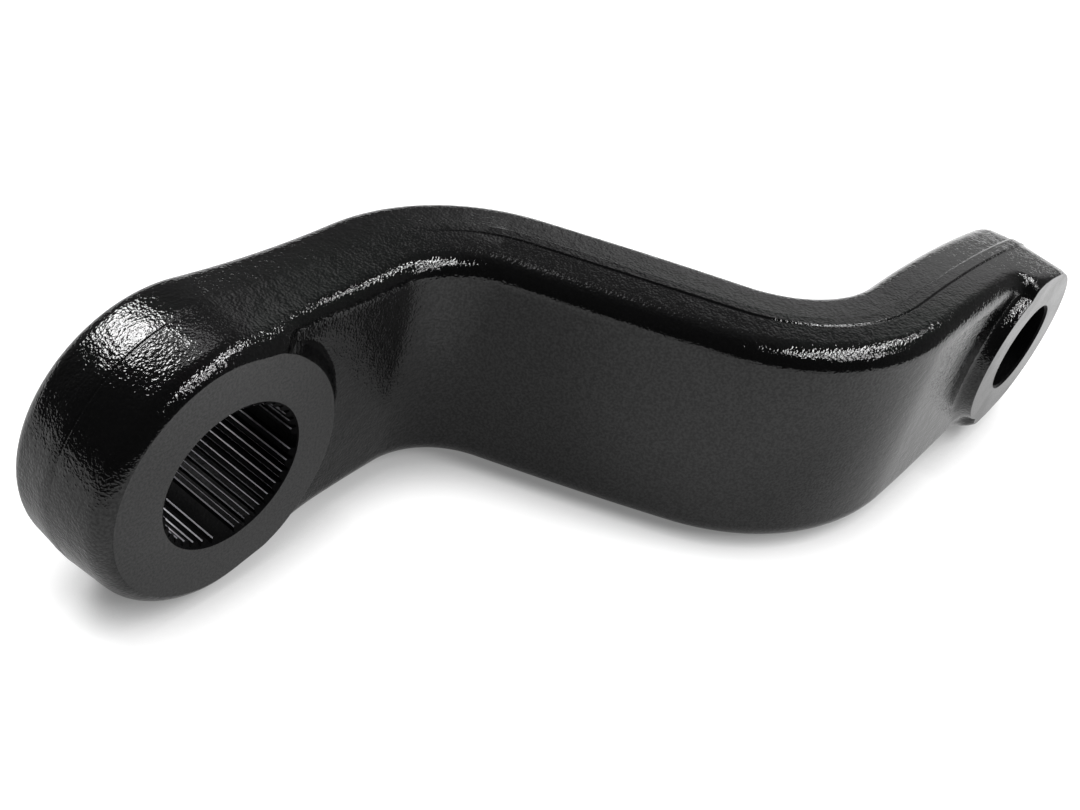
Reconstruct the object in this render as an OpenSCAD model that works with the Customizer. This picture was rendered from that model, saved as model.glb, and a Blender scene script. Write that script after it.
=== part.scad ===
// Drop pitman arm: one forged steel piece with a serrated hub bore and a tapered stud hole.
// The arm lies on its narrow edge. X runs from the hub to the stud end, Y along both holes
// and Z across the width.
// The origin is on the axis of the hub bore, in the machined face of the hub.

/* [Layout] */
// Distance from the hub bore to the stud hole, along the arm
centre_distance = 179.5; // [160:0.5:190]
// Distance between the machined faces of the two ends
drop = 82; // [72:0.5:95]
// Straight length from the hub bore to the first bend
hub_straight = 45.5; // [42:0.5:52]
// Angle that each bend turns through
bend_angle = 65.5; // [58:0.5:72]
// Radius of the bend next to the hub, at mid thickness
hub_bend_r = 32.5; // [24:0.5:36]
// Radius of the bend next to the stud end, at mid thickness
stud_bend_r = 39; // [30:0.5:46]

/* [Forging] */
// Thickness of the arm at the hub
hub_arm_t = 23.4; // [18:0.5:26]
// Thickness of the arm in the middle of its slanted leg
leg_t = 25; // [18:0.5:28]
// Thickness of the arm at the stud end
stud_arm_t = 21.5; // [16:0.5:24]
// Outer radius of the hub at the parting line
hub_r = 30.9; // [27:0.1:34]
// Half of the arm's width between the bends
arm_half_w = 27.2; // [24:0.1:28]
// Outer radius of the stud end at the parting line
stud_r = 21.7; // [20:0.1:23]
// Height of the hub face above the arm beside it
hub_step = 3.4; // [2:0.1:6]
// Height of the stud face above the arm beside it
stud_step = 3.5; // [2:0.1:5]
// Draft angle of the forged sides
draft = 4; // [3:0.5:7]
// Radius of the forged outer edges
edge_r = 5; // [4:0.1:5.5]
// Radius of the hub boss's upper edge, on the side of the arm
hub_shoulder_r = 2.5; // [1.5:0.1:4]
// Radius of the fillet at the foot of the hub boss
hub_foot_r = 2.5; // [1.5:0.1:4]
// Steepest angle of the hub boss's flank
hub_flank = 54; // [40:1:75]
// Distance from the hub bore at which its boss has run out along the outer edges
hub_run_out = 25; // [22:0.5:30]
// Radius of the fillet at the foot of the stud boss
stud_foot_r = 3.5; // [1.5:0.1:4]
// Steepest angle of the stud boss's flank
stud_flank = 75; // [60:1:80]
// Width of the trimmed flash land along the parting line
flash_w = 3.2; // [2:0.1:5]
// Height of the trimmed flash land
flash_h = 0.4; // [0.2:0.05:0.8]
// Shift of the parting line from mid thickness towards the back
parting_shift = -0.4; // [-1:0.1:2]
// Metal taken off the hub's face by machining
hub_stock = 0.4; // [0.2:0.1:1]
// Metal taken off the stud end's face by machining
stud_stock = 2.8; // [1:0.1:3]

/* [Hub bore] */
// Bore diameter over the tips of the serrations
bore_tip_d = 30.4; // [26:0.1:32]
// Bore diameter at the roots of the serrations
bore_root_d = 32.4; // [28:0.1:35]
// Number of serration pitches around the bore
serrations = 36; // [24:4:48]
// Number of master serrations, each one tooth left out
masters = 4; // [1:1:4]
// Share of a pitch that a groove takes at the tips
groove_share = 0.46; // [0.35:0.01:0.6]
// Share of a pitch that a groove takes at its root
root_share = 0.2; // [0.1:0.01:0.3]
// Bore diameter at its two mouths, outside the serrations
bore_mouth_d = 33; // [32.4:0.1:36]
// Depth of the chamfer behind each mouth
bore_chamfer = 0.9; // [0.4:0.1:1]
// Radius of the spot face on the back of the hub
hub_spot_r = 23; // [19:0.5:24]

/* [Stud hole] */
// Diameter of the tapered hole in the machined face
stud_d = 22.6; // [18:0.1:23]
// Length over which the tapered hole narrows by one unit of diameter
stud_taper = 8; // [6:0.5:16]
// Chamfer at the mouth of the tapered hole
stud_chamfer = 0.5; // [0.2:0.1:1]
// Radius of the nut seat on the back of the stud end
nut_seat_r = 15; // [13:0.5:16]
// Depth of the spot faces on the back
spot_depth = 0.6; // [0.3:0.1:1]

/* [Hidden] */
$fn = 96;
coat_black = "#1c1d1f";

// Mesh: columns across a face, steps round an end, a bend, an edge and a fillet, the first angle
// of an end, the least gap between arcs at the edge, and the share of the half width from which
// arcs turn towards their ends
front_columns = 14;
back_columns = 4;
end_steps = 12;
bend_steps = 10;
edge_steps = 4;
foot_steps = 4;
run_steps = 3;
end_start = 5;
edge_gap = 1.2;
arc_share = 0.55;
overrun = 5;

// Plan of the arm at mid thickness: straight, bend, leg, bend, straight
hub_mid_y = hub_step + hub_arm_t / 2;
stud_mid_y = stud_step + stud_arm_t / 2 - drop;
bends_drop = (hub_bend_r + stud_bend_r) * (1 - cos(bend_angle));
leg = (hub_mid_y - stud_mid_y - bends_drop) / sin(bend_angle);
s1 = hub_straight;
s2 = s1 + hub_bend_r * bend_angle * PI / 180;
s3 = s2 + leg;
s4 = s3 + stud_bend_r * bend_angle * PI / 180;
x2 = s1 + hub_bend_r * sin(bend_angle);
y2 = hub_mid_y - hub_bend_r * (1 - cos(bend_angle));
x3 = x2 + leg * cos(bend_angle);
y3 = y2 - leg * sin(bend_angle);
x4 = x3 + stud_bend_r * sin(bend_angle);
s5 = s4 + centre_distance - x4;
hub_back_y = hub_step + hub_arm_t;
stud_back_y = stud_mid_y + stud_arm_t / 2;

// Point of the mid line at length s, and its heading away from X
function mid_line(s) =
    s <= s1 ? [s, hub_mid_y, 0] :
    s <= s2 ? hub_bend((s - s1) / hub_bend_r * 180 / PI) :
    s <= s3 ? [x2 + (s - s2) * cos(bend_angle), y2 - (s - s2) * sin(bend_angle), bend_angle] :
    s <= s4 ? stud_bend(bend_angle - (s - s3) / stud_bend_r * 180 / PI) :
    [x4 + s - s4, stud_mid_y, 0];
function hub_bend(a) = [s1 + hub_bend_r * sin(a), hub_mid_y - hub_bend_r * (1 - cos(a)), a];
function stud_bend(a) =
    [x3 + stud_bend_r * (sin(bend_angle) - sin(a)), y3 - stud_bend_r * (cos(a) - cos(bend_angle)), a];

// A point at length s along the mid line, n behind it and z across
function place(s, z, n) =
    let (m = mid_line(s))
    [m[0] + n * sin(m[2]), m[1] + n * cos(m[2]), z];

// Thickness of the arm at length s
function ease(a, b, t) = a + (b - a) * (1 - cos(180 * t)) / 2;
leg_mid = (s2 + s3) / 2;
function thickness(s) =
    s <= s1 ? hub_arm_t :
    s <= leg_mid ? ease(hub_arm_t, leg_t, (s - s1) / (leg_mid - s1)) :
    s <= s4 ? ease(leg_t, stud_arm_t, (s - leg_mid) / (s4 - leg_mid)) :
    stud_arm_t;

// Outline at the parting line: the arm is parallel between its bends, and at each end
// a parabola leads onto the end's circle, where this is its angle
function end_angle(r, length, a = 0, steps = 10) =
    steps == 0 ? a :
    end_angle(r, length, atan(2 * (r * cos(a) - arm_half_w) / (length - r * sin(a))), steps - 1);
hub_angle = end_angle(hub_r, s1);
stud_angle = end_angle(stud_r, s5 - s4);
hub_curve = tan(hub_angle) / 2 / (s1 - hub_r * sin(hub_angle));
stud_curve = tan(stud_angle) / 2 / (s5 - s4 - stud_r * sin(stud_angle));
function half_width(s) =
    arm_half_w + (s < s1 ? hub_curve * pow(s1 - s, 2) : s > s4 ? stud_curve * pow(s - s4, 2) : 0);
function side_angle(s) =
    s < s1 ? atan(2 * hub_curve * (s1 - s)) :
    s > s4 ? -atan(2 * stud_curve * (s - s4)) :
    0;

// Side of the forging between faces at front and back: pairs of inset from the outline
// and place in the thickness
parting_front = parting_shift - flash_w / 2;
parting_back = parting_shift + flash_w / 2;
function slope_length(height) = (height - edge_r * (1 - sin(draft))) / cos(draft);
function edge_inset(height) = slope_length(height) * sin(draft) + edge_r * cos(draft);
function edge_arc(height) = [
    for (i = [0 : edge_steps])
        let (a = 90 - (90 - draft) * i / edge_steps)
        [edge_inset(height) - edge_r * cos(a), height - edge_r + edge_r * sin(a)]
];
function side_profile(front, back) =
    let (front_arc = edge_arc(parting_front - front), back_arc = edge_arc(back - parting_back))
    concat(
        [for (p = front_arc) [p[0], parting_front - p[1]]],
        [[0, parting_front], [-flash_h, parting_front], [-flash_h, parting_back], [0, parting_back]],
        [for (i = [edge_steps : -1 : 0]) [back_arc[i][0], parting_back + back_arc[i][1]]]
    );

// Rise of a boss: an edge radius at the top, a straight flank if the rise needs one, and the foot fillet
function boss_rings(top_r, rise, edge, foot, steepest) =
    let (
        slope = min(steepest, acos(max(-1, 1 - rise / (edge + foot)))),
        flank = rise - (edge + foot) * (1 - cos(slope)),
        foot_end = top_r + (edge + foot) * sin(slope) + flank / tan(slope)
    )
    concat(
        [for (i = [0 : edge_steps])
            let (a = slope * i / edge_steps)
            [top_r + edge * sin(a), rise - edge * (1 - cos(a))]],
        [for (i = [foot_steps - 1 : -1 : 0])
            let (a = slope * i / foot_steps)
            [foot_end - foot * sin(a), foot * (1 - cos(a))]]
    );
hub_rise = hub_step + hub_stock;
stud_rise = stud_step + stud_stock;
hub_top_r = hub_r - edge_inset(parting_front + hub_arm_t / 2 + hub_rise);
stud_top_r = stud_r - edge_inset(parting_front + stud_arm_t / 2 + stud_rise);
hub_rings = boss_rings(hub_top_r, hub_rise, hub_shoulder_r, hub_foot_r, hub_flank);
stud_rings = boss_rings(stud_top_r, stud_rise, edge_r, stud_foot_r, stud_flank);

// A station: place and half width on the outline, inward direction there, rise of the front, and
// for its line across the front the radius of an arc, the distance from the arc's middle to the
// line's ends, and how much of the arc is left: 1 or -1 for all of it, 0 for a straight line
function side_station(s, rise = 0, arc_r = 0, arc_end = 0, left = 0) =
    [s, half_width(s), [-sin(side_angle(s)), -cos(side_angle(s))], rise, arc_r, arc_end, left];
function end_station(centre, r, a, rise) =
    [centre - r * cos(a), r * sin(a), [cos(a), -sin(a)], rise, 0, 0, 0];

// Along its outer edges the hub boss runs out gently from the end's circle: each arc ends where the edge
// has come down to its height
hub_circle_end = hub_r * sin(hub_angle) + edge_gap;
function hub_arc_end(ring) =
    hub_circle_end + (hub_run_out - hub_circle_end) * acos(2 * ring[1] / hub_rise - 1) / 180;

// The stud boss keeps its round foot: arc k ends where it meets the edge of the front face
function stud_arc_end(k, ring) =
    let (z = half_width(s5 - ring[0] / 2) - edge_inset(parting_front + stud_arm_t / 2 + ring[1]))
    max((k + 1) * edge_gap, chord(ring[0], z));

hub_end = [
    for (i = [0 : end_steps])
        end_station(0, hub_r, end_start + (90 + hub_angle - end_start) * i / end_steps, hub_rise)
];
hub_boss = [
    for (q = hub_rings)
        side_station(hub_arc_end(q), q[1], q[0], hub_arc_end(q), 1)
];
hub_foot = hub_boss[len(hub_boss) - 1];
hub_run = [for (i = [1 : run_steps - 1]) run_station(hub_foot, s1, i / run_steps)];
first_bend = [for (i = [0 : bend_steps]) side_station(s1 + (s2 - s1) * i / bend_steps)];
leg_run = [for (i = [1 : run_steps - 1]) side_station(s2 + (s3 - s2) * i / run_steps)];
second_bend = [for (i = [0 : bend_steps]) side_station(s3 + (s4 - s3) * i / bend_steps)];
stud_boss = [
    for (k = [len(stud_rings) - 1 : -1 : 0])
        let (q = stud_rings[k])
        side_station(s5 - stud_arc_end(k, q), q[1], q[0], stud_arc_end(k, q), -1)
];
stud_foot = stud_boss[0];
stud_run = [for (i = [run_steps - 1 : -1 : 1]) run_station(stud_foot, s4, i / run_steps)];
stud_end = [
    for (i = [end_steps : -1 : 0])
        let (a = end_start + (90 + stud_angle - end_start) * i / end_steps)
        end_station(s5, stud_r, 180 - a, stud_rise)
];
stations = concat(
    hub_end, hub_boss, hub_run, first_bend, leg_run, second_bend, stud_run, stud_boss, stud_end);

// A station part of the way from the foot of a boss to the bend, where the arc straightens out
function run_station(foot, bend, t) =
    side_station(foot[0] + (bend - foot[0]) * t, 0, foot[4], foot[5], foot[6] * (1 - t));

// How far a station's line across the front lies from its ends, at a given z: a true arc in the middle,
// which turns towards the line's ends further out
function chord(r, z) = sqrt(max(0, r * r - z * z));
function turn(share) =
    let (t = max(0, share - arc_share) / (1 - arc_share))
    t * t * (3 - 2 * t);
function bulge(st, z, end_z) =
    let (end = chord(st[4], end_z))
    st[6] * (chord(st[4], z) - end + (st[5] - end) * (turn(abs(z) / end_z) - 1));

// One loop of points round the forging at a station
function loop(st) =
    let (
        t = thickness(st[0]),
        rise = st[3],
        side = side_profile(-t / 2 - rise, t / 2),
        last = len(side) - 1,
        front_s = st[0] + st[2][0] * side[0][0],
        front_z = st[1] + st[2][1] * side[0][0],
        back_s = st[0] + st[2][0] * side[last][0],
        back_z = st[1] + st[2][1] * side[last][0]
    )
    concat(
        [for (i = [1 : front_columns - 1])
            let (z = front_z * sin(90 * (2 * i / front_columns - 1)))
            place(front_s + bulge(st, z, front_z), z, -t / 2 - rise)],
        [for (p = side) place(st[0] + st[2][0] * p[0], st[1] + st[2][1] * p[0], p[1])],
        [for (i = [1 : back_columns - 1]) place(back_s, back_z * (1 - 2 * i / back_columns), t / 2)],
        [for (i = [last : -1 : 0])
            let (p = side[i])
            place(st[0] + st[2][0] * p[0], -st[1] - st[2][1] * p[0], p[1])]
    );

// The forged blank: loops skinned from end to end, each end closed by a strip down the thickness
module forging() {
    loops = [for (st = stations) loop(st)];
    size = len(loops[0]);
    count = len(loops);
    side_count = 2 * edge_steps + 6;
    upper = front_columns - 1;
    lower = size - 1;
    skin = [
        for (i = [0 : count - 2])
            for (j = [0 : size - 1])
                let (
                    a = i * size + j,
                    b = i * size + (j + 1) % size,
                    c = b + size,
                    d = a + size
                )
                each [[a, b, c], [a, c, d]]
    ];
    function strip(base) = concat(
        [for (j = [-1 : upper - 1]) [base + (j < 0 ? lower : j), base + lower - 1, base + j + 1]],
        [for (k = [0 : side_count - 2])
            each [
                if (k > 0) [base + lower - k, base + lower - k - 1, base + upper + k],
                if (k < side_count - 2)
                    [base + lower - k - 1, base + upper + k + 1, base + upper + k]
            ]],
        [for (j = [upper + side_count - 1 : lower - side_count])
            [base + upper + side_count - 2, base + j + 1, base + j]]
    );
    function flip(faces) = [for (t = faces) [t[0], t[2], t[1]]];
    polyhedron(
        points = [for (l = loops) each l],
        faces = concat(skin, strip(0), flip(strip((count - 1) * size))),
        convexity = 6
    );
}

// Lays what is drawn upwards along Z so that it runs along the holes, from y towards the back
module along_y(y) {
    translate([0, y, 0]) rotate([-90, 0, 0]) children();
}

// Groove pattern of the bore: true lands at the tip circle, straight flanks and true roots
module serration_outline() {
    tip_r = bore_tip_d / 2;
    root_r = bore_root_d / 2;
    pitch = 360 / serrations;
    half_tip = pitch * groove_share / 2;
    half_root = pitch * root_share / 2;
    reach = root_r * 1.05;
    spread = half_tip + (half_root - half_tip) * (reach - tip_r) / (root_r - tip_r);
    circle(r = tip_r);
    intersection() {
        circle(r = root_r);
        union() {
            for (i = [0 : serrations - 1])
                rotate((i + 0.5) * pitch)
                    polygon([
                        [0, 0],
                        [tip_r * cos(half_tip), -tip_r * sin(half_tip)],
                        [reach * cos(spread), -reach * sin(spread)],
                        [reach * cos(spread), reach * sin(spread)],
                        [tip_r * cos(half_tip), tip_r * sin(half_tip)]
                    ]);
            for (i = [0 : masters - 1])
                rotate(i * 360 / masters)
                    polygon([
                        [0, 0],
                        [reach * cos(pitch / 2), -reach * sin(pitch / 2)],
                        [reach * cos(pitch / 2), reach * sin(pitch / 2)]
                    ]);
        }
    }
}

// Serrated bore with a chamfer at each end
module hub_bore() {
    tip_r = bore_tip_d / 2;
    mouth_r = bore_mouth_d / 2;
    back = hub_back_y - spot_depth;
    along_y(-overrun) linear_extrude(hub_back_y + 2 * overrun) serration_outline();
    along_y(-overrun) cylinder(r = mouth_r, h = overrun);
    along_y(0) cylinder(r1 = mouth_r, r2 = tip_r, h = bore_chamfer);
    along_y(back - bore_chamfer) cylinder(r1 = tip_r, r2 = mouth_r, h = bore_chamfer);
    along_y(back) cylinder(r = hub_spot_r, h = overrun);
}

// Tapered stud hole, wide at the machined face, with a nut seat on the back
module stud_hole() {
    depth = stud_back_y + drop + overrun;
    mouth_r = stud_d / 2 + stud_chamfer;
    back = stud_back_y - spot_depth;
    translate([centre_distance, 0, 0]) {
        along_y(-drop) cylinder(r1 = stud_d / 2, r2 = (stud_d - depth / stud_taper) / 2, h = depth);
        along_y(-drop - overrun) cylinder(r = mouth_r, h = overrun);
        along_y(-drop) cylinder(r1 = mouth_r, r2 = stud_d / 2 - stud_chamfer, h = 2 * stud_chamfer);
        along_y(back) cylinder(r = nut_seat_r, h = overrun);
    }
}

// Machined flats on the front of both ends
module facing_cuts() {
    along_y(-overrun) cylinder(r = hub_r + overrun, h = overrun);
    translate([centre_distance, 0, 0])
        along_y(-drop - overrun) cylinder(r = stud_r + overrun, h = overrun);
}

module pitman_arm() {
    color(coat_black)
        difference() {
            forging();
            facing_cuts();
            hub_bore();
            stud_hole();
        }
}

pitman_arm();
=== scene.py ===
"""Looks of a drop pitman arm: a forged steel arm under gloss black powder coat, on a white table."""
import math
from collections import namedtuple

import bmesh
import bpy
import numpy as np
from mathutils import Matrix, Vector


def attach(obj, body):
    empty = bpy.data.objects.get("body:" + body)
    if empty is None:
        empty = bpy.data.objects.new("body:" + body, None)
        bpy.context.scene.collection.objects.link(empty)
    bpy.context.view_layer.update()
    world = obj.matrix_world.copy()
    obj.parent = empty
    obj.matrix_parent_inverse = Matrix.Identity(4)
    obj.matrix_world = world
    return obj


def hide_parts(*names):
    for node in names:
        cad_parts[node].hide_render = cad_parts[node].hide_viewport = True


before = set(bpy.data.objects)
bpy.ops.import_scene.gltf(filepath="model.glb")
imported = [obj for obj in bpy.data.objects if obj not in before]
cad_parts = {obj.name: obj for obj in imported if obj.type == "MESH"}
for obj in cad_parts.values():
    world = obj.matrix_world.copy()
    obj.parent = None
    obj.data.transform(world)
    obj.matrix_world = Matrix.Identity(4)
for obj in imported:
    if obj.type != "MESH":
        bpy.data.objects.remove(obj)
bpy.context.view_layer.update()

# Camera, in the row frame: its right, down and forward directions, its place and nearest distance in
# metres, its lens and sensor in millimetres
CAM_RIGHT = (0.633664, -0.750277, 0.188560)
CAM_DOWN = (-0.391781, -0.521403, -0.758054)
CAM_FORWARD = (0.667066, 0.406477, -0.624339)
CAM_PLACE = (-0.144063, -0.149281, 0.194799)
CAM_NEAR = 0.01
CAM_LENS = 49.5576
CAM_SENSOR = 36.0

# Sizes of the arm, as in its construction: lengths in millimetres, angles, counts and shares of a pitch
CENTRE_DISTANCE = 179.5
DROP = 82.0
HUB_STRAIGHT = 45.5
BEND_ANGLE = math.radians(65.5)
HUB_BEND_R = 32.5
STUD_BEND_R = 39.0
HUB_ARM_T = 23.4
LEG_T = 25.0
STUD_ARM_T = 21.5
HUB_R = 30.9
ARM_HALF_W = 27.2
STUD_R = 21.7
HUB_STEP = 3.4
STUD_STEP = 3.5
DRAFT = math.radians(4.0)
EDGE_R = 5.0
HUB_SHOULDER_R = 2.5
HUB_FOOT_R = 2.5
HUB_FLANK = math.radians(54.0)
STUD_FOOT_R = 3.5
STUD_FLANK = math.radians(75.0)
FLASH_W = 3.2
PARTING_SHIFT = -0.4
HUB_STOCK = 0.4
STUD_STOCK = 2.8
BORE_TIP_R = 15.2
BORE_ROOT_R = 16.2
SERRATIONS = 36
MASTERS = 4
GROOVE_SHARE = 0.46
ROOT_SHARE = 0.2
BORE_MOUTH_R = 16.5
BORE_CHAMFER = 0.9
HUB_SPOT_R = 23.0
STUD_HOLE_R = 11.3
STUD_TAPER = 8.0
STUD_CHAMFER = 0.5
NUT_SEAT_R = 15.0
SPOT_DEPTH = 0.6

# Sizes in millimetres that only the looks have: where the outer edge beside the hub comes down, the
# flash land, which is ground on the hub's arm, the fine groove along it, the bore's broken edges and
# the gap between the hub and the table
HUB_EDGE_START = -8.0
HUB_EDGE_END = 28.0
FLASH_H = 0.28
FLASH_FRONT_SLOPE = 0.35
FLASH_BACK_SLOPE = 0.5
GROUND_END = 55.0
FLASH_START = 90.0
GROUND_SHARE = 0.25
GROOVE_W = 0.25
GROOVE_DEPTH = 0.1
GROOVE_FADE_IN = 5.0
GROOVE_FADE_OUT = 10.0
LAND_BREAK = 0.22
TABLE_GAP = 0.05

# Fineness of the skin
FRONT_COLUMNS = 48
BACK_COLUMNS = 16
END_STEPS = 56
BEND_STEPS = 30
EDGE_STEPS = 10
FOOT_STEPS = 10
RUN_STEPS = 9
LEG_STEPS = 12
LATHE_STEPS = 192
LAND_POINTS = 5
SIDE_POINTS = 2 * (EDGE_STEPS + 1) + LAND_POINTS
ANGLE_ROUNDS = 10

# How its lines run: denser towards the edges, and from just inside the round ends. The arcs of a boss
# spread over at least this many millimetres of the edge, and turn towards it from this share of the
# half width on. Edges that turn by more than the sharp angle are shaded sharp
COLUMN_SPREAD = math.radians(75)
END_START = math.radians(1.0)
ARC_RUN = 10.8
ARC_SHARE = 0.8
SHARP_ANGLE = math.radians(19)

# How far the cutters reach past what they cut, in millimetres
OVERRUN = 5.0
CUT_CLEARANCE = 0.05

# Millimetres in a metre
MM = 1000

# Plan of the arm at mid thickness
HUB_MID_Y = HUB_STEP + HUB_ARM_T / 2
STUD_MID_Y = STUD_STEP + STUD_ARM_T / 2 - DROP
BENDS_DROP = (HUB_BEND_R + STUD_BEND_R) * (1 - math.cos(BEND_ANGLE))
LEG = (HUB_MID_Y - STUD_MID_Y - BENDS_DROP) / math.sin(BEND_ANGLE)
S1 = HUB_STRAIGHT
S2 = S1 + HUB_BEND_R * BEND_ANGLE
S3 = S2 + LEG
S4 = S3 + STUD_BEND_R * BEND_ANGLE
X2 = S1 + HUB_BEND_R * math.sin(BEND_ANGLE)
Y2 = HUB_MID_Y - HUB_BEND_R * (1 - math.cos(BEND_ANGLE))
X3 = X2 + LEG * math.cos(BEND_ANGLE)
Y3 = Y2 - LEG * math.sin(BEND_ANGLE)
X4 = X3 + STUD_BEND_R * math.sin(BEND_ANGLE)
S5 = S4 + CENTRE_DISTANCE - X4
HUB_BACK_Y = HUB_STEP + HUB_ARM_T
STUD_BACK_Y = STUD_MID_Y + STUD_ARM_T / 2
PARTING_FRONT = PARTING_SHIFT - FLASH_W / 2
PARTING_BACK = PARTING_SHIFT + FLASH_W / 2

# Coat: its refraction, its black and the blue in it, and then its textures, with heights in metres:
# blotches in its roughness, lumps, grinding marks, and a grain that also varies its gloss
COAT_IOR = 1.58
COAT_BLACK = 0.0022
COAT_BLUE = 1.08
BLOTCH_SCALE = 0.12
BLOTCH_RANGE = (0.35, 0.65)
LUMP_SCALE = 0.35
LUMP_HEIGHT = 0.0004
MARK_SCALE = 2.4
MARK_STRETCH = (1.0, 0.06, 0.3)
MARK_STRENGTH = 0.3
MARK_HEIGHT = 0.00015
GRAIN_SCALE = 1.8
GRAIN_RANGE = (0.3, 0.7)
GRAIN_HEIGHT = 0.00018
GLOSS_SPREAD = 0.2
BEVEL_SAMPLES = 6

# Coats by number, and where they lie: tolerances in millimetres, how flat a machined face is, and how
# little the normal of a land's broken edge, which carries a painted glint, leans along the bore
FORGED, FACE, BORE, PAINTED_GLINT = range(4)
ON_PLANE = 0.02
FLAT = 0.999
GLINT_FROM = 0.03
GLINT_TO = 0.8 * LAND_BREAK
ALONG_BORE = 0.1
HOLE_MARGIN = 0.1

# How much less grain the broad faces have, and how much less again from the first bend on; which
# slopes count as broad; and where the grinding marks start, end and lie in the thickness
FACE_SMOOTHING = 0.25
LEG_SMOOTHING = 0.2
BROAD = (0.6, 0.95)
MARKS_START = (-5, 25)
MARKS_END = (S2 - 10, S2 + 15)
MARKS_DEPTH = (-9, 4)
LENGTH_SAMPLES = 400

# Table: its edges in metres and its surface; how much its glow lifts it to white for the camera, from
# shaded to open, with the reach in metres of the arm's occlusion that cuts this glow into a painted
# contact shadow;
# and how much it glows for the coat's reflections, a painted light that grows over a range of X in
# millimetres
TABLE_X = (-0.5, 0.65)
TABLE_Y = (-0.21, 0.6)
TABLE_SHADE = 0.55
TABLE_ROUGHNESS = 0.8
TABLE_GLOSS = 0.2
SHADE_REACH = 0.018
SHADE_SAMPLES = 16
SHADE_RANGE = (0.3, 0.9)
CAMERA_LIFT = (0.2, 0.85)
REFLECTED_RANGE = (60, 350)
REFLECTED_LIFT = (0.08, 0.9)

# Room: the side on which its walls are brightest, and the point that the lamps face, in metres
BRIGHT_SIDE = Vector((0.9, 0.35, 0.1))
ARM_MIDDLE = Vector((0.085, -0.03, 0.0))

Ring = namedtuple("Ring", "r rise")
Station = namedtuple("Station", "s half inward rise arc_r arc_end share")


def mid_line(s):
    """Point of the mid line at length s and its heading away from X."""
    if s <= S1:
        return s, HUB_MID_Y, 0.0
    if s <= S2:
        a = (s - S1) / HUB_BEND_R
        return S1 + HUB_BEND_R * math.sin(a), HUB_MID_Y - HUB_BEND_R * (1 - math.cos(a)), a
    if s <= S3:
        run = s - S2
        return X2 + run * math.cos(BEND_ANGLE), Y2 - run * math.sin(BEND_ANGLE), BEND_ANGLE
    if s <= S4:
        a = BEND_ANGLE - (s - S3) / STUD_BEND_R
        x = X3 + STUD_BEND_R * (math.sin(BEND_ANGLE) - math.sin(a))
        return x, Y3 - STUD_BEND_R * (math.cos(a) - math.cos(BEND_ANGLE)), a
    return X4 + s - S4, STUD_MID_Y, 0.0


def place(s, z, n):
    """A point at length s along the mid line, n behind it and z across."""
    x, y, a = mid_line(s)
    return x + n * math.sin(a), y + n * math.cos(a), z


def spaced(start, stop, steps):
    """Evenly spaced values from start to stop."""
    return [start + (stop - start) * i / steps for i in range(steps + 1)]


def step_between(value, low, high):
    """Rises smoothly from 0 at low to 1 at high."""
    t = np.clip((value - low) / (high - low), 0, 1)
    return t * t * (3 - 2 * t)


def ease(a, b, t):
    """From a to b along half a wave."""
    return a + (b - a) * (1 - math.cos(math.pi * t)) / 2


def thickness(s):
    """Thickness of the arm at length s."""
    leg_mid = (S2 + S3) / 2
    if s <= S1:
        return HUB_ARM_T
    if s <= leg_mid:
        return ease(HUB_ARM_T, LEG_T, (s - S1) / (leg_mid - S1))
    if s <= S4:
        return ease(LEG_T, STUD_ARM_T, (s - leg_mid) / (S4 - leg_mid))
    return STUD_ARM_T


def end_angle(r, length):
    """Angle at which the side of the arm leaves a round end, so that it runs level into the bend."""
    a = 0.0
    for _ in range(ANGLE_ROUNDS):
        a = math.atan(2 * (r * math.cos(a) - ARM_HALF_W) / (length - r * math.sin(a)))
    return a


HUB_ANGLE = end_angle(HUB_R, S1)
STUD_ANGLE = end_angle(STUD_R, S5 - S4)
HUB_CURVE = math.tan(HUB_ANGLE) / 2 / (S1 - HUB_R * math.sin(HUB_ANGLE))
STUD_CURVE = math.tan(STUD_ANGLE) / 2 / (S5 - S4 - STUD_R * math.sin(STUD_ANGLE))


def half_width(s):
    """Half of the arm's width at length s."""
    if s < S1:
        return ARM_HALF_W + HUB_CURVE * (S1 - s) ** 2
    if s > S4:
        return ARM_HALF_W + STUD_CURVE * (s - S4) ** 2
    return ARM_HALF_W


def side_angle(s):
    """Angle of the arm's side at length s."""
    if s < S1:
        return math.atan(2 * HUB_CURVE * (S1 - s))
    if s > S4:
        return -math.atan(2 * STUD_CURVE * (s - S4))
    return 0.0


def edge_inset(height):
    """How far the front face's edge lies inside the outline, at a height over the parting line."""
    slope_length = (height - EDGE_R * (1 - math.sin(DRAFT))) / math.cos(DRAFT)
    return slope_length * math.sin(DRAFT) + EDGE_R * math.cos(DRAFT)


def edge_arc(height):
    """Inset and height of each point round an outer edge."""
    arc = []
    for i in range(EDGE_STEPS + 1):
        a = math.pi / 2 - (math.pi / 2 - DRAFT) * i / EDGE_STEPS
        arc.append((edge_inset(height) - EDGE_R * math.cos(a), height - EDGE_R + EDGE_R * math.sin(a)))
    return arc


def standing(s):
    """How far the flash land stands up at length s: 0 where it has been ground."""
    return step_between(s, GROUND_END, FLASH_START)


def flash_height(s):
    """Height of the flash land: on the hub's arm it has been ground almost flush."""
    return FLASH_H * (GROUND_SHARE + (1 - GROUND_SHARE) * standing(s))


def groove_depth(s):
    """Depth of the fine groove along the land: at the hub's round end, and where the land stands up."""
    fade_in = step_between(s, -HUB_R, GROOVE_FADE_IN - HUB_R)
    fade_out = step_between(-s, 0, GROOVE_FADE_OUT)
    return GROOVE_DEPTH * (fade_in * fade_out + standing(s))


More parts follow.
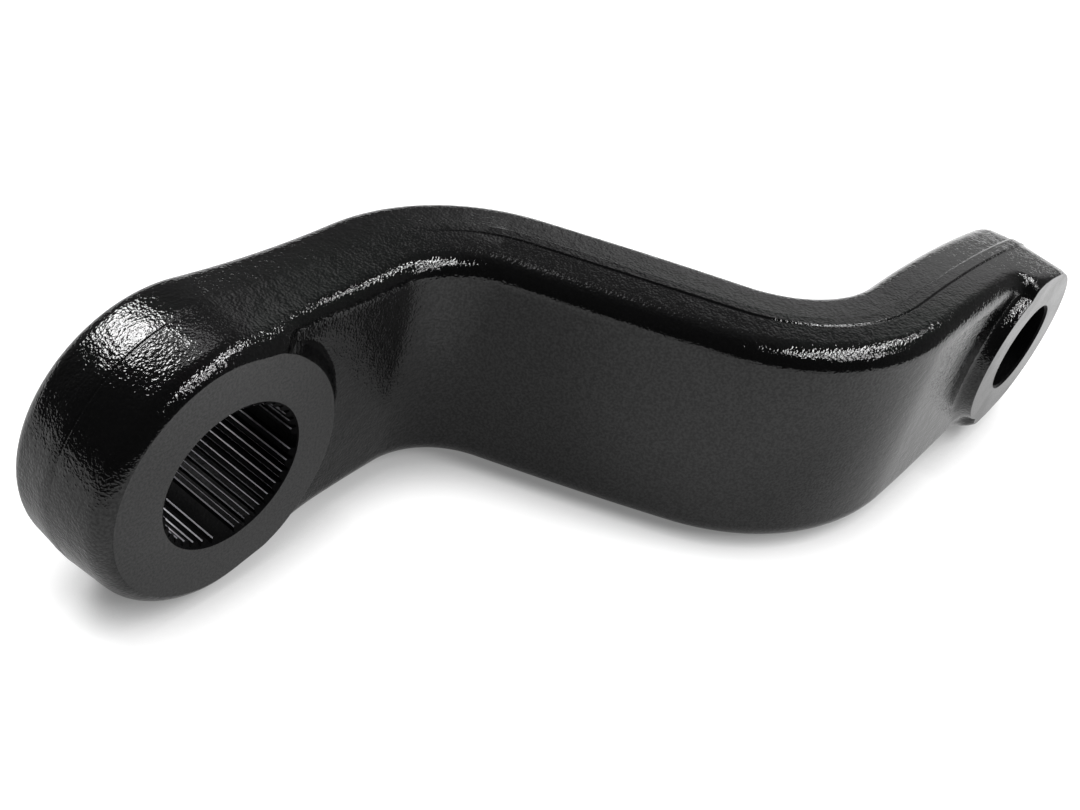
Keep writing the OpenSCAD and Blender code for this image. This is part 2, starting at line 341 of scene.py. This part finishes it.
def side_profile(s, front, back):
    """Side of the forging at length s: pairs of inset from the outline and place in the thickness."""
    land = flash_height(s)
    side = [(p, PARTING_FRONT - q) for p, q in edge_arc(PARTING_FRONT - front)]
    side += [(0, PARTING_FRONT - GROOVE_W), (groove_depth(s), PARTING_FRONT)]
    side += [(-land, PARTING_FRONT + FLASH_FRONT_SLOPE), (-land, PARTING_BACK - FLASH_BACK_SLOPE)]
    side += [(0, PARTING_BACK)]
    side += [(p, PARTING_BACK + q) for p, q in reversed(edge_arc(back - PARTING_BACK))]
    return side


def boss_rings(top_r, rise, edge, foot, steepest):
    """Radius and height of each arc down a boss: edge radius, straight flank, foot fillet."""
    slope = min(steepest, math.acos(max(-1.0, 1 - rise / (edge + foot))))
    flank = rise - (edge + foot) * (1 - math.cos(slope))
    foot_end = top_r + (edge + foot) * math.sin(slope) + flank / math.tan(slope)
    rings = []
    for a in spaced(0, slope, EDGE_STEPS):
        rings.append(Ring(top_r + edge * math.sin(a), rise - edge * (1 - math.cos(a))))
    for a in reversed(spaced(0, slope, FOOT_STEPS)[:-1]):
        rings.append(Ring(foot_end - foot * math.sin(a), foot * (1 - math.cos(a))))
    return rings


HUB_RISE = HUB_STEP + HUB_STOCK
STUD_RISE = STUD_STEP + STUD_STOCK
HUB_TOP_R = HUB_R - edge_inset(PARTING_FRONT + HUB_ARM_T / 2 + HUB_RISE)
STUD_TOP_R = STUD_R - edge_inset(PARTING_FRONT + STUD_ARM_T / 2 + STUD_RISE)
HUB_RINGS = boss_rings(HUB_TOP_R, HUB_RISE, HUB_SHOULDER_R, HUB_FOOT_R, HUB_FLANK)
STUD_RINGS = boss_rings(STUD_TOP_R, STUD_RISE, EDGE_R, STUD_FOOT_R, STUD_FLANK)


def chord(r, z):
    """Half of the chord of a circle of radius r, at distance z from its middle."""
    return math.sqrt(max(0.0, r * r - z * z))


def arc_reach(k, ring, s, arm_t, circle_end):
    """Where arc k of a boss meets the front face's edge, as a distance from the boss's middle."""
    z = half_width(s) - edge_inset(PARTING_FRONT + arm_t / 2 + ring.rise)
    gap = ARC_RUN / len(STUD_RINGS)
    return max(circle_end + (k + 1) * gap, chord(ring.r, z))


def edge_rise(s, rise):
    """Rise of the outer edge at length s: beside the hub it comes down gently, apart from the boss."""
    if s > HUB_EDGE_END:
        return rise
    return HUB_RISE * step_between(-s, -HUB_EDGE_END, -HUB_EDGE_START)


def side_station(s, rise=0.0, arc_r=0.0, arc_end=0.0, share=0.0):
    """A station between the round ends, whose front line keeps a share of a boss's arc."""
    a = side_angle(s)
    return Station(s, half_width(s), (-math.sin(a), -math.cos(a)), rise, arc_r, arc_end, share)


def end_station(centre, r, a, rise):
    """A station on a round end, at angle a from its outermost point."""
    inward = (math.cos(a), -math.sin(a))
    return Station(centre - r * math.cos(a), r * math.sin(a), inward, rise, 0.0, 0.0, 0.0)


def run_station(foot, bend, t):
    """A station between a boss's foot and the bend, where the foot's arc fades out."""
    s = foot.s + (bend - foot.s) * t
    return side_station(s, 0.0, foot.arc_r, foot.arc_end, foot.share * (1 - t))


def hub_boss():
    """The hub boss's stations, from its top down to its foot."""
    out = []
    for k, ring in enumerate(HUB_RINGS):
        end = arc_reach(k, ring, ring.r / 2, HUB_ARM_T, HUB_R * math.sin(HUB_ANGLE))
        out.append(side_station(end, ring.rise, ring.r, end, 1.0))
    return out


def stud_boss():
    """The stud boss's stations, from its foot up to its top."""
    out = []
    for k, ring in enumerate(STUD_RINGS):
        end = arc_reach(k, ring, S5 - ring.r / 2, STUD_ARM_T, 0.0)
        out.append(side_station(S5 - end, ring.rise, ring.r, end, -1.0))
    return out[::-1]


def stations():
    """Every station from the hub's round end to the stud's."""
    hub = hub_boss()
    stud = stud_boss()
    run = spaced(0, 1, RUN_STEPS)[1:-1]
    hub_angles = spaced(END_START, math.pi / 2 + HUB_ANGLE, END_STEPS)
    stud_angles = spaced(END_START, math.pi / 2 + STUD_ANGLE, END_STEPS)
    out = [end_station(0.0, HUB_R, a, HUB_RISE) for a in hub_angles]
    out += hub
    out += [run_station(hub[-1], S1, t) for t in run]
    out += [side_station(s) for s in spaced(S1, S2, BEND_STEPS)]
    out += [side_station(s) for s in spaced(S2, S3, LEG_STEPS)[1:-1]]
    out += [side_station(s) for s in spaced(S3, S4, BEND_STEPS)]
    out += [run_station(stud[0], S4, t) for t in reversed(run)]
    out += stud
    out += [end_station(S5, STUD_R, math.pi - a, STUD_RISE) for a in reversed(stud_angles)]
    return out


def bulge(st, z, end_z):
    """How far a station's line across the front lies from its ends, at a given z."""
    if st.share == 0.0:
        return 0.0
    end = chord(st.arc_r, end_z)
    turn = step_between(abs(z) / end_z, ARC_SHARE, 1)
    return st.share * (chord(st.arc_r, z) - end + (st.arc_end - end) * (turn - 1))


def lifted(side, lift):
    """A side whose front end is lifted, which draws its outer edge along."""
    arc = [(p, q - lift * (1 - i / EDGE_STEPS) ** 2) for i, (p, q) in enumerate(side[:EDGE_STEPS])]
    return arc + side[EDGE_STEPS:]


def inside(st, inset):
    """Length and place across the arm at an inset from a station's outline."""
    return st.s + st.inward[0] * inset, st.half + st.inward[1] * inset


def front_row(st, edge, t, start_s, end_z):
    """A station's points across the front, from below."""
    points = []
    for i in range(1, FRONT_COLUMNS):
        swing = COLUMN_SPREAD * (2 * i / FRONT_COLUMNS - 1)
        z = end_z * math.sin(swing) / math.sin(COLUMN_SPREAD)
        near_edge = step_between(abs(z) / end_z, ARC_SHARE, 1)
        raised = st.rise + max(0.0, edge - st.rise) * near_edge
        points.append(place(start_s + bulge(st, z, end_z), z, -t / 2 - raised))
    return points


def loop(st):
    """One loop of points round the forging: front from below, upper side, back, lower side."""
    t = thickness(st.s)
    edge = edge_rise(st.s, st.rise)
    side = lifted(side_profile(st.s, -t / 2 - edge, t / 2), max(0.0, st.rise - edge))
    upper = [(*inside(st, p), q) for p, q in side]
    front_s, front_z = upper[0][:2]
    back_s, back_z = upper[-1][:2]
    back_shares = [1 - 2 * i / BACK_COLUMNS for i in range(1, BACK_COLUMNS)]
    points = front_row(st, edge, t, front_s, front_z)
    points += [place(s, z, q) for s, z, q in upper]
    points += [place(back_s, back_z * share, t / 2) for share in back_shares]
    points += [place(s, -z, q) for s, z, q in reversed(upper)]
    return points


def mm_mesh(name, points, faces):
    """A mesh from points in millimetres, with its normals outwards."""
    mesh = bpy.data.meshes.new(name)
    mesh.from_pydata([(x / MM, y / MM, z / MM) for x, y, z in points], [], faces)
    bm = bmesh.new()
    bm.from_mesh(mesh)
    bmesh.ops.recalc_face_normals(bm, faces=bm.faces)
    bm.to_mesh(mesh)
    bm.free()
    return mesh


def end_cap(base, size):
    """Faces that close one end, across the loop that starts at base."""
    front = FRONT_COLUMNS - 1
    upper = [base + front + k for k in range(SIDE_POINTS)]
    lower = [base + size - 1 - k for k in range(SIDE_POINTS)]
    front_middle = [base + k for k in range(front)]
    back_middle = [base + front + SIDE_POINTS + k for k in range(BACK_COLUMNS - 1)]
    faces = [tuple([lower[0]] + front_middle + [upper[0], upper[1], lower[1]])]
    for k in range(1, SIDE_POINTS - 2):
        faces.append((upper[k], upper[k + 1], lower[k + 1], lower[k]))
    faces.append(tuple([upper[-2], upper[-1]] + back_middle + [lower[-1], lower[-2]]))
    return faces


def forging():
    """The forged blank: loops skinned from end to end."""
    loops = [loop(st) for st in stations()]
    size = len(loops[0])
    last = (len(loops) - 1) * size
    faces = []
    for base in range(0, last, size):
        for j in range(size):
            a = base + j
            b = base + (j + 1) % size
            faces.append((a, b, b + size, a + size))
    faces += end_cap(0, size) + end_cap(last, size)
    return mm_mesh("forging", [p for points in loops for p in points], faces)


def lathe(name, profile, x):
    """A solid turned about a line along Y at x, from radius and y pairs with both ends on the axis."""
    points = [(x, profile[0][1], 0.0), (x, profile[-1][1], 0.0)]
    rings = profile[1:-1]
    for r, y in rings:
        for i in range(LATHE_STEPS):
            a = 2 * math.pi * i / LATHE_STEPS
            points.append((x + r * math.cos(a), y, r * math.sin(a)))
    faces = []
    last = 2 + (len(rings) - 1) * LATHE_STEPS
    for i in range(LATHE_STEPS):
        j = (i + 1) % LATHE_STEPS
        faces.append((0, 2 + i, 2 + j))
        faces.append((1, last + j, last + i))
        for k in range(len(rings) - 1):
            a = 2 + k * LATHE_STEPS
            b = a + LATHE_STEPS
            faces.append((a + i, a + j, b + j, b + i))
    return mm_mesh(name, points, faces)


def groove_outline():
    """Outline of all the bore's grooves, as pairs of radius and angle; some teeth are left out."""
    pitch = 2 * math.pi / SERRATIONS
    half = pitch * GROOVE_SHARE / 2
    flank = [(BORE_TIP_R - CUT_CLEARANCE, half + LAND_BREAK / BORE_TIP_R),
             (BORE_TIP_R + LAND_BREAK, half),
             (BORE_ROOT_R, pitch * ROOT_SHARE / 2)]
    outline = []
    for i in range(SERRATIONS):
        tooth = i * pitch
        middle = tooth + pitch / 2
        left_out, next_left_out = (k % (SERRATIONS // MASTERS) == 0 for k in (i, i + 1))
        if left_out:
            outline += [(BORE_ROOT_R, tooth + pitch / 4 * k) for k in (-1, 0, 1)]
        else:
            outline += [(r, middle - a) for r, a in flank]
        if not next_left_out:
            outline += [(r, middle + a) for r, a in reversed(flank)]
    return outline


def serrations():
    """The grooves of the bore as one prism, which also breaks the edges of the lands."""
    outline = groove_outline()
    count = len(outline)
    points = []
    for y in (-OVERRUN, HUB_BACK_Y + OVERRUN):
        points += [(r * math.cos(a), y, r * math.sin(a)) for r, a in outline]
    faces = [tuple(range(count)), tuple(range(2 * count - 1, count - 1, -1))]
    for i in range(count):
        j = (i + 1) % count
        faces.append((i, j, count + j, count + i))
    return mm_mesh("serrations", points, faces)


def hub_cut():
    """Facing cut, plain bore with its chamfers, and the spot face on the back."""
    back = HUB_BACK_Y - SPOT_DEPTH
    far = HUB_BACK_Y + OVERRUN
    wide = HUB_R + OVERRUN
    return lathe("hub_cut", [
        (0, -OVERRUN), (wide, -OVERRUN), (wide, 0), (BORE_MOUTH_R, 0), (BORE_TIP_R, BORE_CHAMFER),
        (BORE_TIP_R, back - BORE_CHAMFER), (BORE_MOUTH_R, back), (HUB_SPOT_R, back), (HUB_SPOT_R, far),
        (0, far)], 0.0)


def stud_cut():
    """Facing cut, tapered hole with its chamfer, and the nut seat on the back."""
    mouth = STUD_HOLE_R + STUD_CHAMFER
    back = STUD_BACK_Y - SPOT_DEPTH
    far = STUD_BACK_Y + OVERRUN
    wide = STUD_R + OVERRUN
    deep = STUD_CHAMFER * (1 + 1 / (2 * STUD_TAPER))
    small = STUD_HOLE_R - (back + DROP) / STUD_TAPER / 2
    return lathe("stud_cut", [
        (0, -DROP - OVERRUN), (wide, -DROP - OVERRUN), (wide, -DROP), (mouth, -DROP),
        (mouth - deep, -DROP + deep), (small, back), (NUT_SEAT_R, back), (NUT_SEAT_R, far), (0, far)],
        CENTRE_DISTANCE)


def add(name, data):
    """A new object in the scene."""
    obj = bpy.data.objects.new(name, data)
    bpy.context.scene.collection.objects.link(obj)
    return obj


def machined(blank, cutters):
    """The blank's mesh with each cutter taken out of it."""
    made = []
    for mesh in cutters:
        cutter = add(mesh.name, mesh)
        made.append(cutter)
        cut = blank.modifiers.new(mesh.name, "BOOLEAN")
        cut.operation = "DIFFERENCE"
        cut.solver = "EXACT"
        cut.object = cutter
    depsgraph = bpy.context.evaluated_depsgraph_get()
    mesh = bpy.data.meshes.new_from_object(blank.evaluated_get(depsgraph))
    mesh.name = "pitman_arm_skin"
    for obj in made + [blank]:
        bpy.data.objects.remove(obj)
    return mesh


def nodes_of(name):
    """A new material with its nodes, links and shader."""
    mat = bpy.data.materials.new(name)
    mat.use_nodes = True
    tree = mat.node_tree
    return mat, tree.nodes, tree.links, tree.nodes["Principled BSDF"]


def millimetres(nodes, links):
    """Object coordinates in millimetres."""
    coord = nodes.new("ShaderNodeTexCoord")
    scale = nodes.new("ShaderNodeVectorMath")
    scale.operation = "SCALE"
    scale.inputs["Scale"].default_value = MM
    links.new(coord.outputs["Object"], scale.inputs[0])
    return scale.outputs[0]


def noise(nodes, links, vector, scale, detail=2.0, rough=0.5):
    """Noise at the given coordinates."""
    tex = nodes.new("ShaderNodeTexNoise")
    tex.inputs["Scale"].default_value = scale
    tex.inputs["Detail"].default_value = detail
    tex.inputs["Roughness"].default_value = rough
    links.new(vector, tex.inputs["Vector"])
    return tex.outputs["Fac"]


def spread(nodes, links, value, low, high, out_low, out_high):
    """Maps a value smoothly from one range to another."""
    node = nodes.new("ShaderNodeMapRange")
    node.interpolation_type = "SMOOTHSTEP"
    node.inputs["From Min"].default_value = low
    node.inputs["From Max"].default_value = high
    node.inputs["To Min"].default_value = out_low
    node.inputs["To Max"].default_value = out_high
    links.new(value, node.inputs["Value"])
    return node.outputs["Result"]


def bump(nodes, links, height, strength, distance, normal):
    """The normal, tilted by a height field."""
    node = nodes.new("ShaderNodeBump")
    node.inputs["Strength"].default_value = strength
    node.inputs["Distance"].default_value = distance
    links.new(height, node.inputs["Height"])
    links.new(normal, node.inputs["Normal"])
    return node.outputs["Normal"]


def soft_edges(nodes, radius):
    """The normal, with edges rounded by a small radius in metres."""
    node = nodes.new("ShaderNodeBevel")
    node.samples = BEVEL_SAMPLES
    node.inputs["Radius"].default_value = radius
    return node.outputs["Normal"]


def attribute(nodes, name):
    """A value that the mesh carries."""
    node = nodes.new("ShaderNodeAttribute")
    node.attribute_name = name
    return node.outputs["Fac"]


def joined(nodes, links, operation, a, b):
    """Two values joined by a sum, a product or another operation."""
    node = nodes.new("ShaderNodeMath")
    node.operation = operation
    links.new(a, node.inputs[0])
    links.new(b, node.inputs[1])
    return node.outputs[0]


def stretched(nodes, links, vector, factors):
    """The coordinates scaled along each axis."""
    node = nodes.new("ShaderNodeVectorMath")
    node.operation = "MULTIPLY"
    node.inputs[1].default_value = factors
    links.new(vector, node.inputs[0])
    return node.outputs[0]


def relief(nodes, links, where, speckle, peel, lumps, edge):
    """The coat's normal: soft edges, the forging's lumps, its grinding marks and the coat's own grain."""
    grain = attribute(nodes, "grain")
    ground = attribute(nodes, "ground")
    across = stretched(nodes, links, where, MARK_STRETCH)
    scratches = noise(nodes, links, across, MARK_SCALE, detail=3.0, rough=0.6)
    coarse = joined(nodes, links, "MULTIPLY", noise(nodes, links, where, LUMP_SCALE), grain)
    marks = joined(nodes, links, "MULTIPLY", scratches, ground)
    fine = joined(nodes, links, "MULTIPLY", speckle, grain)
    normal = soft_edges(nodes, edge)
    normal = bump(nodes, links, coarse, lumps, LUMP_HEIGHT, normal)
    normal = bump(nodes, links, marks, MARK_STRENGTH, MARK_HEIGHT, normal)
    return bump(nodes, links, fine, peel, GRAIN_HEIGHT, normal)


def coat(name, roughness, peel, lumps, edge, gloss=0.5, shade=COAT_BLACK):
    """Gloss black powder coat, whose roughness varies in blotches and whose gloss varies in its grain."""
    mat, nodes, links, shader = nodes_of(name)
    shader.inputs["Base Color"].default_value = (shade, shade, COAT_BLUE * shade, 1)
    shader.inputs["IOR"].default_value = COAT_IOR
    where = millimetres(nodes, links)
    blotch = noise(nodes, links, where, BLOTCH_SCALE, detail=3.0)
    dull = spread(nodes, links, blotch, *BLOTCH_RANGE, *roughness)
    links.new(dull, shader.inputs["Roughness"])
    speckle = noise(nodes, links, where, GRAIN_SCALE, detail=1.0)
    gloss_range = ((1 - GLOSS_SPREAD) * gloss, (1 + GLOSS_SPREAD) * gloss)
    shine = spread(nodes, links, speckle, *GRAIN_RANGE, *gloss_range)
    links.new(shine, shader.inputs["Specular IOR Level"])
    normal = relief(nodes, links, where, speckle, peel, lumps, edge)
    links.new(normal, shader.inputs["Normal"])
    return mat


def coats():
    """The coat on the forging, on the machined faces, in the holes, and on the broken edges of the lands,
    whose grey is a painted glint.
    """
    return [
        coat("forged_coat", roughness=(0.06, 0.1), peel=0.65, lumps=0.4, edge=0.0003),
        coat("face_coat", roughness=(0.2, 0.26), peel=0.1, lumps=0.05, edge=0.0003, gloss=0.86),
        coat("bore_coat", roughness=(0.4, 0.55), peel=0.5, lumps=0.3, edge=0.0001, gloss=0.03),
        # Painted glint: the grey base of the land edges' coat stands in for their highlights; its gloss
        # and roughness are the coat's own
        coat("painted_glint_coat", roughness=(0.35, 0.5), peel=0.3, lumps=0.2, edge=0.0001, gloss=0.9, shade=0.28)]


def coat_index(face):
    """Which of the coats a face has, from where it lies."""
    x, y, z = (MM * c for c in face.center)
    hub_away = math.hypot(x, z)
    stud_away = math.hypot(x - CENTRE_DISTANCE, z)
    in_front_plane = abs(y) < ON_PLANE or abs(y + DROP) < ON_PLANE
    in_hub_seat = abs(y - HUB_BACK_Y + SPOT_DEPTH) < ON_PLANE and hub_away < HUB_SPOT_R
    in_stud_seat = abs(y - STUD_BACK_Y + SPOT_DEPTH) < ON_PLANE and stud_away < NUT_SEAT_R
    on_front = face.normal.y < -FLAT and in_front_plane
    on_seat = face.normal.y > FLAT and (in_hub_seat or in_stud_seat)
    if on_front or on_seat:
        return FACE
    if hub_away < BORE_MOUTH_R:
        # The broken edges of the lands take the coat with the painted glint
        broken = GLINT_FROM < hub_away - BORE_TIP_R < GLINT_TO
        return PAINTED_GLINT if broken and abs(face.normal.y) < ALONG_BORE else BORE
    if stud_away < STUD_HOLE_R + STUD_CHAMFER + HOLE_MARGIN:
        return BORE
    return FORGED


def dressed():
    """The machined skin with its coats."""
    materials = coats()
    skin = machined(add("blank", forging()), [hub_cut(), serrations(), stud_cut()])
    for material in materials:
        skin.materials.append(material)
    for face in skin.polygons:
        face.material_index = coat_index(face)
    skin.shade_smooth()
    skin.set_sharp_from_angle(angle=SHARP_ANGLE)
    return skin


def mark(skin, name, values):
    """Gives each vertex of the skin a value."""
    layer = skin.attributes.new(name, "FLOAT", "POINT")
    layer.data.foreach_set("value", values.astype(np.float32))


def mark_surface(skin):
    """Marks how much of the forging's grain shows, least on the broad faces, and where it is ground."""
    lengths = np.linspace(-HUB_R, S5 + STUD_R, LENGTH_SAMPLES)
    samples = np.array([mid_line(s) for s in lengths])
    spots = np.array([v.co for v in skin.vertices]) * MM
    away = np.hypot(spots[:, :1] - samples[:, 0], spots[:, 1:2] - samples[:, 1])
    nearest = np.argmin(away, axis=1)
    along = lengths[nearest]
    mid_x, mid_y, heading = samples[nearest].T
    behind = (spots[:, 0] - mid_x) * np.sin(heading) + (spots[:, 1] - mid_y) * np.cos(heading)
    normals = np.array([v.normal for v in skin.vertices])
    flatness = np.abs(normals[:, 0] * np.sin(heading) + normals[:, 1] * np.cos(heading))

    broad = step_between(flatness, *BROAD)
    smoothing = FACE_SMOOTHING + LEG_SMOOTHING * step_between(along, S1, S2)
    mark(skin, "grain", 1 - smoothing * broad)
    on_arm = step_between(along, *MARKS_START) * (1 - step_between(along, *MARKS_END))
    mark(skin, "ground", on_arm * step_between(behind, *MARKS_DEPTH) * (1 - broad))


def table_coat():
    """White table: lifted to white for the camera, less so close to the arm, where the lower glow is a
    painted contact shadow; its reflection in the coat is brighter away from the hub, a painted light on
    the table."""
    mat, nodes, links, shader = nodes_of("white_table")
    shader.inputs["Base Color"].default_value = (TABLE_SHADE, TABLE_SHADE, TABLE_SHADE, 1)
    shader.inputs["Roughness"].default_value = TABLE_ROUGHNESS
    shader.inputs["Specular IOR Level"].default_value = TABLE_GLOSS
    shader.inputs["Emission Color"].default_value = (1, 1, 1, 1)
    ray = nodes.new("ShaderNodeLightPath").outputs
    split = nodes.new("ShaderNodeSeparateXYZ")
    links.new(millimetres(nodes, links), split.inputs[0])
    # Painted light: the glow seen in the coat's reflections grows with X, so the table looks brighter
    # away from the hub
    away = spread(nodes, links, split.outputs["X"], *REFLECTED_RANGE, *REFLECTED_LIFT)
    # Painted shadow: the camera's glow is cut close to the arm by its occlusion
    near = nodes.new("ShaderNodeAmbientOcclusion")
    near.samples = SHADE_SAMPLES
    near.inputs["Distance"].default_value = SHADE_REACH
    clear = spread(nodes, links, near.outputs["AO"], *SHADE_RANGE, *CAMERA_LIFT)
    camera_lift = joined(nodes, links, "MULTIPLY", ray["Is Camera Ray"], clear)
    glossy_lift = joined(nodes, links, "MULTIPLY", away, ray["Is Glossy Ray"])
    lift = joined(nodes, links, "MAXIMUM", camera_lift, glossy_lift)
    links.new(lift, shader.inputs["Emission Strength"])
    return mat


def tilted_table():
    """The table, tilted so that it lies close under the hub and along the arm's lower edge."""
    slope = (HUB_R - ARM_HALF_W) / X4
    hub_low = (HUB_R + FLASH_H + TABLE_GAP) / MM
    corners = [(x, y, slope * x - hub_low) for x in TABLE_X for y in TABLE_Y]
    mesh = bpy.data.meshes.new("table")
    mesh.from_pydata(corners, [], [(0, 1, 3, 2)])
    mesh.materials.append(table_coat())
    return add("table", mesh)


def toward(azimuth, elevation):
    """A direction, from angles in degrees."""
    a = math.radians(azimuth)
    e = math.radians(elevation)
    return Vector((math.cos(a) * math.cos(e), math.sin(a) * math.cos(e), math.sin(e)))


def facing(nodes, links, direction, low, high, out_low, out_high):
    """A level that rises as the direction of view nears the given one."""
    coord = nodes.new("ShaderNodeTexCoord")
    node = nodes.new("ShaderNodeVectorMath")
    node.operation = "DOT_PRODUCT"
    node.inputs[1].default_value = direction.normalized()
    links.new(coord.outputs["Generated"], node.inputs[0])
    return spread(nodes, links, node.outputs["Value"], low, high, out_low, out_high)


def light_room():
    """Room light: dim behind the camera, with a soft bright wall beyond the stud end. The camera itself
    sees white beyond the table."""
    world = bpy.data.worlds.new("room")
    bpy.context.scene.world = world
    world.use_nodes = True
    nodes = world.node_tree.nodes
    links = world.node_tree.links
    walls = facing(nodes, links, BRIGHT_SIDE, low=-0.4, high=0.6, out_low=0.04, out_high=0.13)
    bright_wall = facing(nodes, links, toward(16, 20), low=0.9, high=1.0, out_low=0.0, out_high=0.5)
    level = joined(nodes, links, "ADD", walls, bright_wall)
    camera_ray = nodes.new("ShaderNodeLightPath").outputs["Is Camera Ray"]
    shown = joined(nodes, links, "MAXIMUM", level, camera_ray)
    background = nodes["Background"].inputs
    links.new(shown, background["Strength"])
    background["Color"].default_value = (1, 1, 1, 1)


def lamp(name, direction, distance, width, height, power):
    """A soft box in the given direction from the arm, facing it; sizes in metres, power in watts."""
    data = bpy.data.lights.new(name, "AREA")
    data.shape = "RECTANGLE"
    data.size = width
    data.size_y = height
    data.energy = power
    obj = add(name, data)
    obj.location = ARM_MIDDLE + direction.normalized() * distance
    obj.rotation_euler = direction.to_track_quat("Z", "Y").to_euler()


def set_camera():
    """The camera of the picture."""
    data = bpy.data.cameras.new("camera")
    data.sensor_width = CAM_SENSOR
    data.lens = CAM_LENS
    data.clip_start = CAM_NEAR
    camera = add("camera", data)
    columns = (CAM_RIGHT, [-c for c in CAM_DOWN], [-c for c in CAM_FORWARD], CAM_PLACE)
    camera.matrix_world = Matrix([[c[i] for c in columns] for i in range(3)] + [[0, 0, 0, 1]])
    bpy.context.scene.camera = camera
    bpy.context.scene.view_settings.view_transform = "Standard"


arm = add("pitman_arm_skin", dressed())
mark_surface(arm.data)
table = tilted_table()
light_room()
lamp("window", toward(100, 45), distance=1.0, width=0.42, height=0.31, power=6.8)
lamp("panel", toward(72, 61), distance=1.1, width=0.5, height=0.28, power=0.6)
lamp("front", toward(-66, 53), distance=1.0, width=1.15, height=0.09, power=7.0)
lamp("low_front", toward(-78, 32), distance=1.0, width=0.3, height=0.2, power=1.7)
set_camera()

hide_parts("pitman_arm")
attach(arm, "root")
